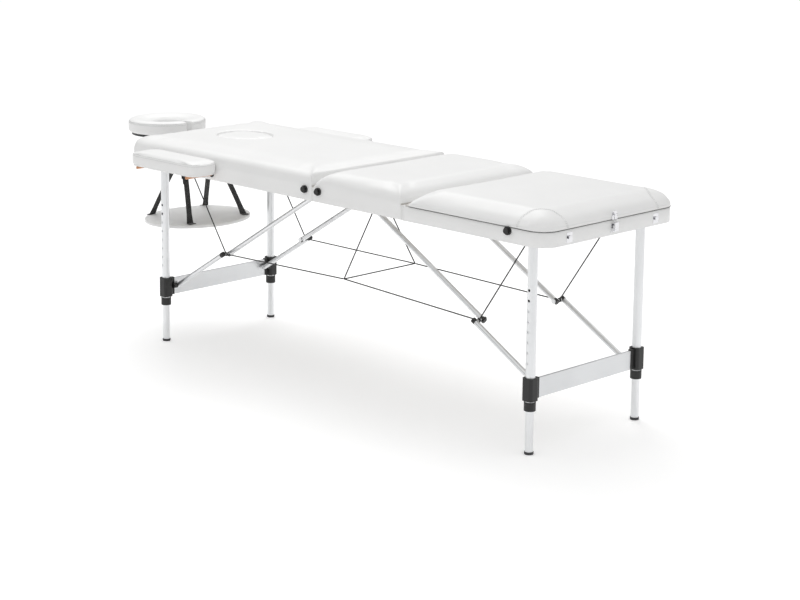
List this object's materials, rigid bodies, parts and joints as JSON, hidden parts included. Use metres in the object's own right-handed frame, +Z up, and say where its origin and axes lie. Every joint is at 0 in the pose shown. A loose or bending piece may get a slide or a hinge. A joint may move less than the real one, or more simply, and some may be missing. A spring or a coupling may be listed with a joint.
{
  "type": "portable massage table",
  "caption": "Folding padded massage table with lifting backrest, face cradle, armrests, arm sling, telescopic aluminium legs and cable-braced struts.",
  "frame": {"origin": "on the floor, under the centre of the whole object's bounding box", "axes": "+X towards the foot end, +Y to the far side, +Z up"},
  "size_m": [2.1465, 0.824, 0.722],
  "materials": {
    "pad_cover": "smooth white coated-fabric upholstery, soft sheen",
    "foam_board": "plain birch plywood",
    "rail_wood": "wooden rail wrapped in white upholstery",
    "armrest_wood": "reddish oiled wooden rods and board",
    "tube": "satin anodised aluminium tube",
    "crossbar": "satin flat aluminium bar",
    "bracket": "black moulded plastic",
    "foot_rubber": "dark grey rubber",
    "bumper": "black rubber",
    "steel": "zinc-plated steel",
    "chrome": "bright chrome",
    "cable": "black coated steel cable",
    "webbing": "black woven webbing",
    "cradle_black": "black painted steel",
    "cradle_plastic": "black moulded plastic plate"
  },
  "bodies": {
    "foot_half": {"foot_rails": "rail_wood", "middle_board": "foam_board", "middle_pad": "pad_cover", "ratchet_lower_arms": "steel", "foot_hinge_leaves": "steel", "foot_hangers": "steel", "foot_bumpers": "bumper", "foot_end_fittings": "chrome", "foot_cables": "cable", "centre_cables": "cable"},
    "hinge_pins": {"hinge_pins": "steel"},
    "head_half": {"head_rails": "rail_wood", "head_board": "foam_board", "head_pad": "pad_cover", "head_hinge_leaves": "steel", "head_hangers": "steel", "head_bumpers": "bumper", "head_end_fittings": "chrome", "head_cables": "cable"},
    "backrest": {"back_board": "foam_board", "back_pad": "pad_cover", "ratchet_upper_arms": "steel", "latch_keeper": "chrome"},
    "face_hole_plug": {"face_hole_plug": "pad_cover"},
    "latch_lever": {"latch_lever": "chrome"},
    "latch_bail": {"latch_bail": "chrome"},
    "closing_latch_near": {"closing_latch_near_lever": "chrome"},
    "closing_latch_far": {"closing_latch_far_lever": "chrome"},
    "cradle_frame": {"cradle_frame": "cradle_black"},
    "cradle_head": {"cradle_plate": "cradle_plastic", "cradle_cushion": "pad_cover"},
    "cradle_cam_lever": {"cradle_cam_lever": "cradle_plastic"},
    "armrest_near": {"armrest_near_frame": "armrest_wood", "armrest_near_pad": "pad_cover"},
    "armrest_far": {"armrest_far_frame": "armrest_wood", "armrest_far_pad": "pad_cover"},
    "arm_sling": {"sling_pad": "pad_cover", "sling_straps": "webbing"},
    "head_leg": {"head_leg_tubes": "tube", "head_leg_brackets": "bracket", "head_crossbar": "crossbar"},
    "head_lower_struts": {"head_lower_struts": "tube"},
    "head_upper_struts": {"head_upper_struts": "tube"},
    "head_near_inner_leg": {"head_near_inner_leg": "tube", "head_near_foot": "foot_rubber"},
    "head_near_button": {"head_near_button": "chrome"},
    "head_far_inner_leg": {"head_far_inner_leg": "tube", "head_far_foot": "foot_rubber"},
    "head_far_button": {"head_far_button": "chrome"},
    "foot_leg": {"foot_leg_tubes": "tube", "foot_leg_brackets": "bracket", "foot_crossbar": "crossbar"},
    "foot_lower_struts": {"foot_lower_struts": "tube"},
    "foot_upper_struts": {"foot_upper_struts": "tube"},
    "foot_near_inner_leg": {"foot_near_inner_leg": "tube", "foot_near_foot": "foot_rubber"},
    "foot_near_button": {"foot_near_button": "chrome"},
    "foot_far_inner_leg": {"foot_far_inner_leg": "tube", "foot_far_foot": "foot_rubber"},
    "foot_far_button": {"foot_far_button": "chrome"}
  },
  "joints": [
    {"name": "table_fold", "type": "hinge", "parent": "foot_half", "child": "hinge_pins", "pos_m": [0.13675, 0, 0.607], "axis": [0, -1, 0], "range_deg": [0, 90], "deforming": ["head_cables", "foot_cables", "centre_cables", "sling_pad", "sling_straps"]},
    {"name": "table_close", "type": "hinge", "parent": "hinge_pins", "child": "head_half", "pos_m": [0.13675, 0, 0.607], "axis": [0, -1, 0], "range_deg": [0, 90], "deforming": ["head_cables", "foot_cables", "centre_cables", "sling_pad", "sling_straps"]},
    {"name": "head_leg_fold", "type": "hinge", "parent": "head_half", "child": "head_leg", "pos_m": [-0.65625, 0, 0.628], "axis": [0, -1, 0], "range_deg": [0, 90]},
    {"name": "head_upper_strut_fold", "type": "hinge", "parent": "head_half", "child": "head_upper_struts", "pos_m": [0.09175, 0, 0.644], "axis": [0, 1, 0], "range_deg": [0, 31.64]},
    {"name": "head_lower_strut_fold", "type": "hinge", "parent": "head_leg", "child": "head_lower_struts", "pos_m": [-0.64025, 0, 0.193], "axis": [0, -1, 0], "range_deg": [0, 58.36]},
    {"name": "head_near_leg_height", "type": "slide", "parent": "head_leg", "child": "head_near_inner_leg", "axis": [0, 0, -1], "range_m": [-0.09, 0.12]},
    {"name": "head_near_button_travel", "type": "slide", "parent": "head_near_inner_leg", "child": "head_near_button", "axis": [0, -1, 0], "range_m": [0, 0.0045], "stiffness_N_per_m": 400},
    {"name": "head_far_leg_height", "type": "slide", "parent": "head_leg", "child": "head_far_inner_leg", "axis": [0, 0, -1], "range_m": [-0.09, 0.12]},
    {"name": "head_far_button_travel", "type": "slide", "parent": "head_far_inner_leg", "child": "head_far_button", "axis": [0, 1, 0], "range_m": [0, 0.0045], "stiffness_N_per_m": 400},
    {"name": "foot_leg_fold", "type": "hinge", "parent": "foot_half", "child": "foot_leg", "pos_m": [0.97275, 0, 0.628], "axis": [0, 1, 0], "range_deg": [0, 90]},
    {"name": "foot_upper_strut_fold", "type": "hinge", "parent": "foot_half", "child": "foot_upper_struts", "pos_m": [0.18175, 0, 0.644], "axis": [0, -1, 0], "range_deg": [0, 30.2]},
    {"name": "foot_lower_strut_fold", "type": "hinge", "parent": "foot_leg", "child": "foot_lower_struts", "pos_m": [0.95675, 0, 0.193], "axis": [0, 1, 0], "range_deg": [0, 59.8]},
    {"name": "foot_near_leg_height", "type": "slide", "parent": "foot_leg", "child": "foot_near_inner_leg", "axis": [0, 0, -1], "range_m": [-0.09, 0.12]},
    {"name": "foot_near_button_travel", "type": "slide", "parent": "foot_near_inner_leg", "child": "foot_near_button", "axis": [0, -1, 0], "range_m": [0, 0.0045], "stiffness_N_per_m": 400},
    {"name": "foot_far_leg_height", "type": "slide", "parent": "foot_leg", "child": "foot_far_inner_leg", "axis": [0, 0, -1], "range_m": [-0.09, 0.12]},
    {"name": "foot_far_button_travel", "type": "slide", "parent": "foot_far_inner_leg", "child": "foot_far_button", "axis": [0, 1, 0], "range_m": [0, 0.0045], "stiffness_N_per_m": 400},
    {"name": "backrest_lift", "type": "hinge", "parent": "foot_half", "child": "backrest", "pos_m": [0.51975, 0, 0.6475], "axis": [0, -1, 0], "range_deg": [0, 45]},
    {"name": "plug_lift", "type": "slide", "parent": "head_half", "child": "face_hole_plug", "axis": [0, 0, 1], "range_m": [0, 0.06]},
    {"name": "latch_lever_swing", "type": "hinge", "parent": "foot_half", "child": "latch_lever", "pos_m": [1.06675, 0, 0.628], "axis": [0, 1, 0], "range_deg": [0, 90]},
    {"name": "latch_bail_swing", "type": "hinge", "parent": "latch_lever", "child": "latch_bail", "pos_m": [1.06675, 0, 0.637], "axis": [0, 1, 0], "range_deg": [0, 6]},
    {"name": "closing_latch_near_swing", "type": "hinge", "parent": "head_half", "child": "closing_latch_near", "pos_m": [-0.79325, -0.193, 0.6265], "axis": [0, -1, 0], "range_deg": [0, 90]},
    {"name": "closing_latch_far_swing", "type": "hinge", "parent": "head_half", "child": "closing_latch_far", "pos_m": [-0.79325, 0.193, 0.6265], "axis": [0, -1, 0], "range_deg": [0, 90]},
    {"name": "cradle_slide", "type": "slide", "parent": "head_half", "child": "cradle_frame", "axis": [-1, 0, 0], "range_m": [0, 0.05]},
    {"name": "cradle_tilt", "type": "hinge", "parent": "cradle_frame", "child": "cradle_head", "pos_m": [-0.84825, 0, 0.655], "axis": [0, 1, 0], "range_deg": [-30, 15]},
    {"name": "cradle_cam_swing", "type": "hinge", "parent": "cradle_frame", "child": "cradle_cam_lever", "pos_m": [-0.84825, 0, 0.655], "axis": [0, 1, 0], "range_deg": [0, 60]},
    {"name": "armrest_near_pull", "type": "slide", "parent": "head_half", "child": "armrest_near", "axis": [0, -1, 0], "range_m": [0, 0.016]},
    {"name": "armrest_far_pull", "type": "slide", "parent": "head_half", "child": "armrest_far", "axis": [0, 1, 0], "range_m": [0, 0.016]},
    {"name": "sling_swing", "type": "hinge", "parent": "head_half", "child": "arm_sling", "pos_m": [-0.77325, 0, 0.608], "axis": [0, 1, 0], "range_deg": [-12, 12]}
  ],
  "couplings": [
    {"joint": "head_leg_fold", "follows": "table_fold", "ratio": 1},
    {"joint": "head_upper_strut_fold", "follows": "table_fold", "ratio": 0.35153},
    {"joint": "head_lower_strut_fold", "follows": "table_fold", "ratio": 0.64846},
    {"joint": "foot_leg_fold", "follows": "table_fold", "ratio": 1},
    {"joint": "foot_upper_strut_fold", "follows": "table_fold", "ratio": 0.33552},
    {"joint": "foot_lower_strut_fold", "follows": "table_fold", "ratio": 0.66448}
  ]
}
